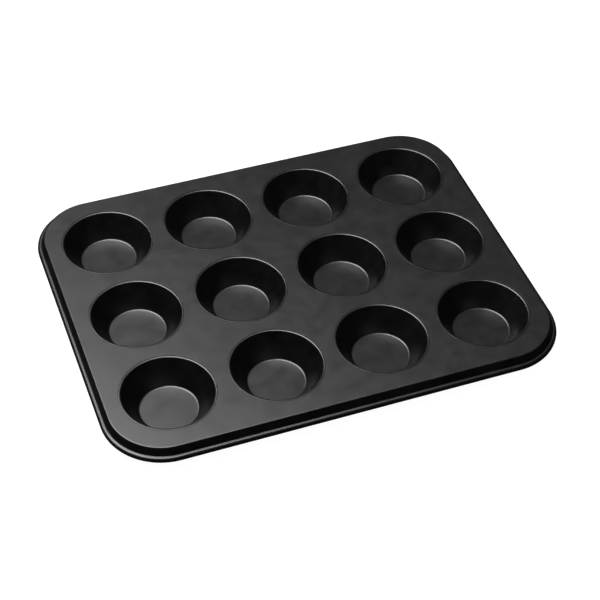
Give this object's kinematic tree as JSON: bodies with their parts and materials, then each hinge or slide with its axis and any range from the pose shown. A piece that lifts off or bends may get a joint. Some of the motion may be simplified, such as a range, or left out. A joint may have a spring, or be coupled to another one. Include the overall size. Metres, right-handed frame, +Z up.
{
  "type": "muffin tin",
  "caption": "Shallow non-stick baking tin: a rounded rectangular sheet frame with a wired, rolled rim and a grid of round, flared cups for muffins, buns or tartlets.",
  "frame": {"origin": "centre of the plane the cup floors stand on, in the middle of the tin", "axes": "+X along the long side, to the right in the front view; +Y away from the front long side; +Z up, out of the cup mouths"},
  "size_m": [0.349, 0.2724, 0.0186],
  "materials": {
    "frame_coat": "black satin non-stick coat on sheet steel, faintly mottled",
    "cup_coat": "black satin non-stick coat on drawn sheet steel",
    "wire_steel": "plain drawn steel wire, hidden in the rolled rim"
  },
  "bodies": {
    "root": {"frame_sheet": "frame_coat", "rim_wire": "wire_steel", "cup_row1_col1": "cup_coat", "cup_row1_col2": "cup_coat", "cup_row1_col3": "cup_coat", "cup_row1_col4": "cup_coat", "cup_row2_col1": "cup_coat", "cup_row2_col2": "cup_coat", "cup_row2_col3": "cup_coat", "cup_row2_col4": "cup_coat", "cup_row3_col1": "cup_coat", "cup_row3_col2": "cup_coat", "cup_row3_col3": "cup_coat", "cup_row3_col4": "cup_coat"}
  },
  "joints": []
}
